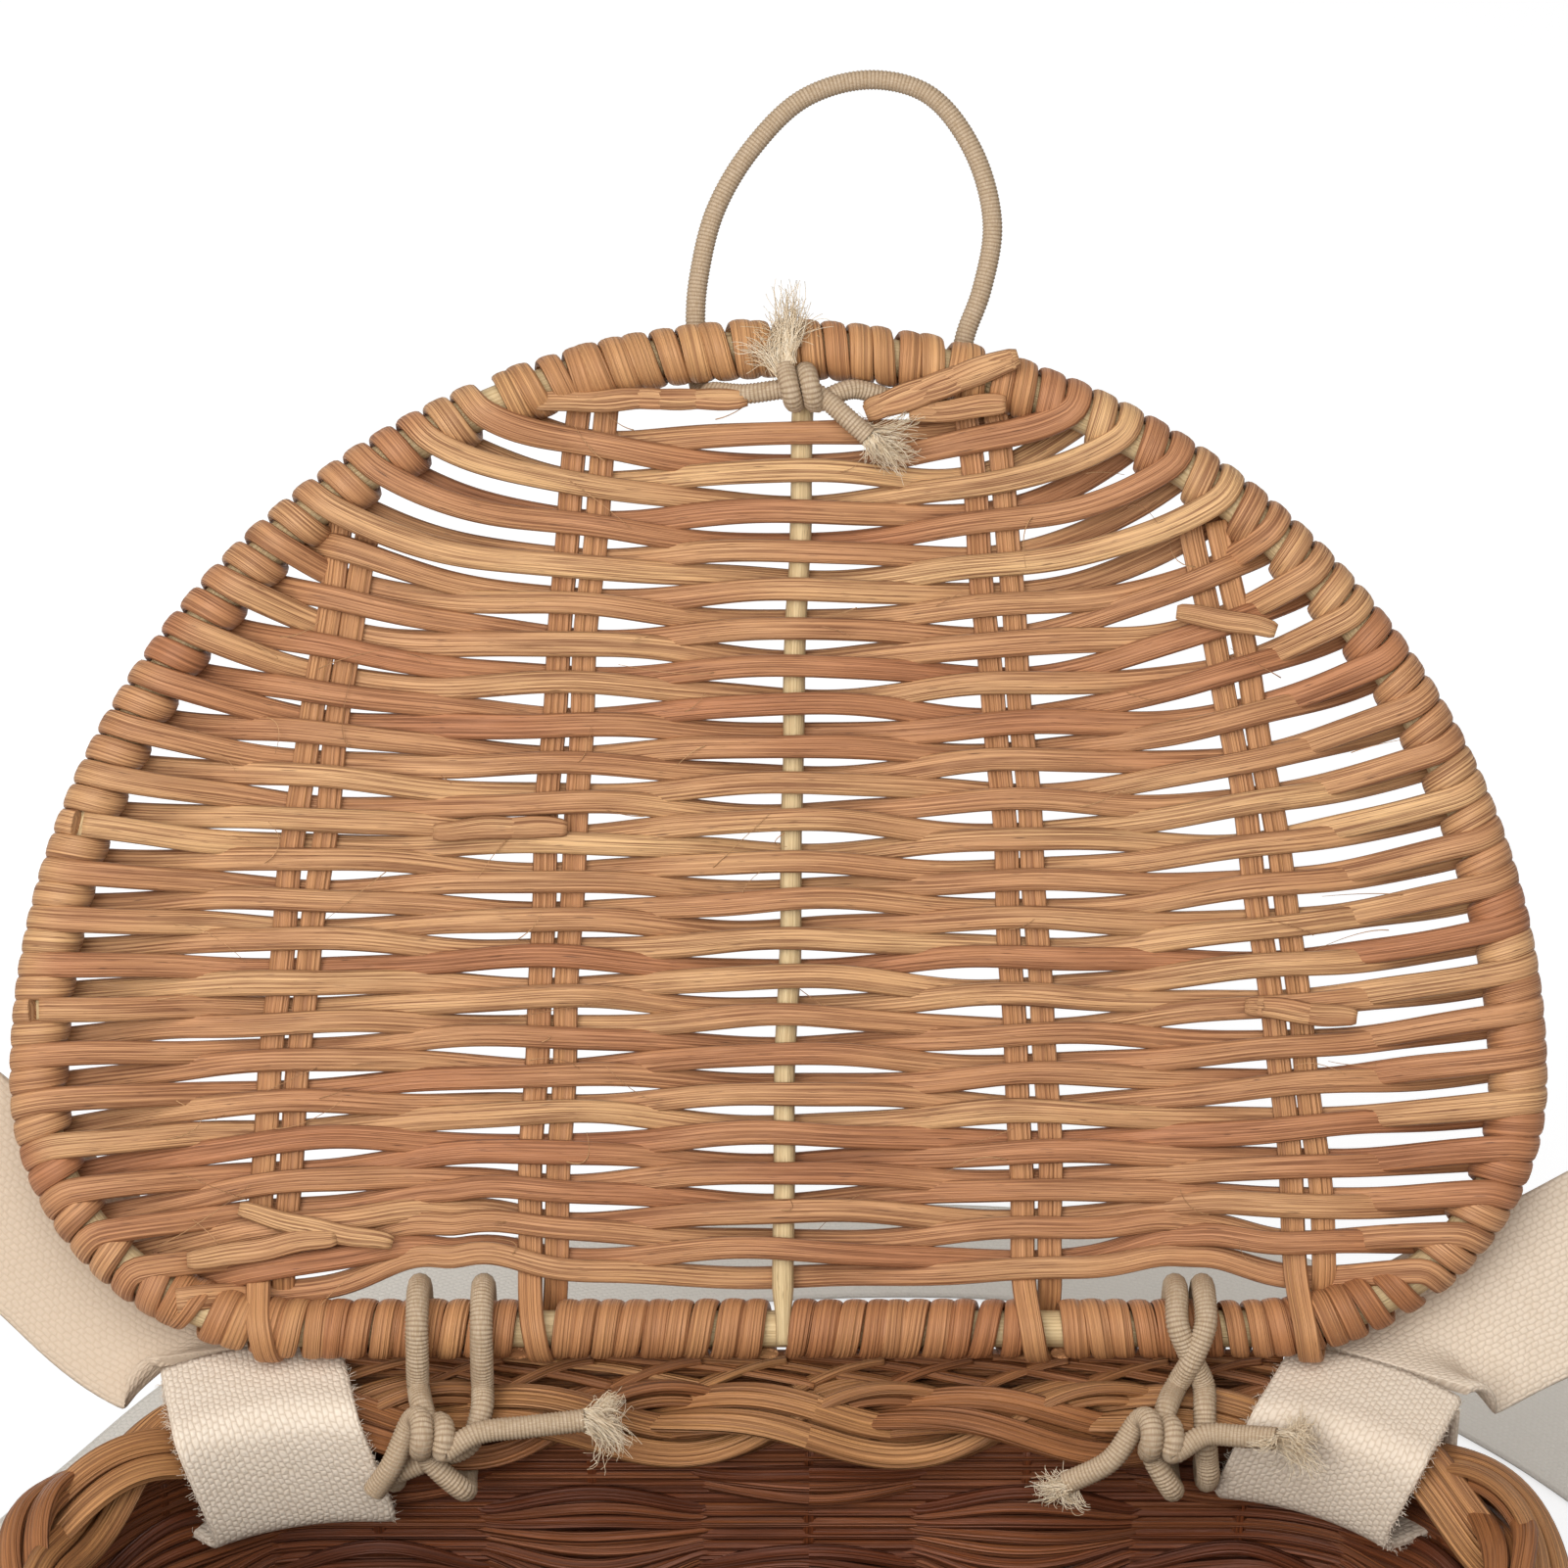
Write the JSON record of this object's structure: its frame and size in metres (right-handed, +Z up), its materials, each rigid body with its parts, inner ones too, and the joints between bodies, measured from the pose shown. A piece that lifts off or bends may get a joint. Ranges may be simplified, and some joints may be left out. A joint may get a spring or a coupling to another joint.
{
  "type": "rattan shoulder bag",
  "caption": "Round-fronted woven rattan basket bag with a hinged openwork lid, elastic closure loop, plaited rim and a cotton webbing shoulder strap.",
  "frame": {"origin": "middle of the base's underside, on the table", "axes": "+Z up, +X to the right seen from the front, +Y from the front to the hinge side"},
  "size_m": [0.4533, 0.4127, 0.3402],
  "materials": {
    "lid_reed": "split reed, satin, grained",
    "pale_cane": "peeled round cane, satin",
    "wall_reed": "reddish split reed, matte",
    "rim_reed": "split reed, satin",
    "webbing": "natural cotton, plain weave",
    "elastic": "covered elastic cord, ribbed",
    "turned_wood": "turned, oiled"
  },
  "bodies": {
    "basket": {"base_floor": "wall_reed", "base_hoop": "pale_cane", "wall_stakes_1": "wall_reed", "wall_stakes_2": "wall_reed", "wall_stakes_3": "wall_reed", "wall_stakes_4": "wall_reed", "wall_stakes_5": "wall_reed", "wall_stakes_6": "wall_reed", "wall_stakes_7": "wall_reed", "wall_stakes_8": "wall_reed", "wall_stakes_9": "wall_reed", "wall_band_01": "wall_reed", "wall_band_02": "wall_reed", "wall_band_03": "wall_reed", "wall_band_04": "wall_reed", "wall_band_05": "wall_reed", "wall_band_06": "wall_reed", "wall_band_07": "wall_reed", "wall_band_08": "wall_reed", "wall_band_09": "wall_reed", "wall_band_10": "wall_reed", "wall_band_11": "wall_reed", "wall_band_12": "wall_reed", "rim_strand_1": "rim_reed", "rim_strand_2": "rim_reed", "rim_strand_3": "rim_reed", "strap_left_loop": "webbing", "strap_right_loop": "webbing", "shoulder_strap": "webbing", "hinge_tie_left": "elastic", "hinge_tie_right": "elastic", "hinge_knot_left": "elastic", "hinge_knot_right": "elastic", "closure_button": "turned_wood", "closure_button_cord": "elastic"},
    "lid": {"lid_hoop": "pale_cane", "lid_center_stake": "pale_cane", "lid_stake_pair_1": "lid_reed", "lid_stake_pair_2": "lid_reed", "lid_stake_pair_3": "lid_reed", "lid_stake_pair_4": "lid_reed", "lid_weaver_1": "lid_reed", "lid_weaver_2": "lid_reed", "lid_weaver_3": "lid_reed", "lid_weaver_4": "lid_reed", "lid_weaver_5": "lid_reed", "lid_weaver_6": "lid_reed", "lid_lashing_left": "lid_reed", "lid_lashing_middle": "lid_reed", "lid_lashing_right": "lid_reed", "lid_lashing_front": "lid_reed", "closure_knot": "elastic"},
    "closure_loop": {"closure_loop": "elastic"}
  },
  "joints": [
    {"name": "lid_hinge", "type": "hinge", "parent": "basket", "child": "lid", "pos_m": [0, 0.0819, 0.17761], "axis": [1, 0, 0], "range_deg": [0, 125]},
    {"name": "closure_loop_swing", "type": "hinge", "parent": "lid", "child": "closure_loop", "pos_m": [0, 0.1723, 0.30671], "axis": [1, 0, 0], "range_deg": [0, 72]}
  ]
}
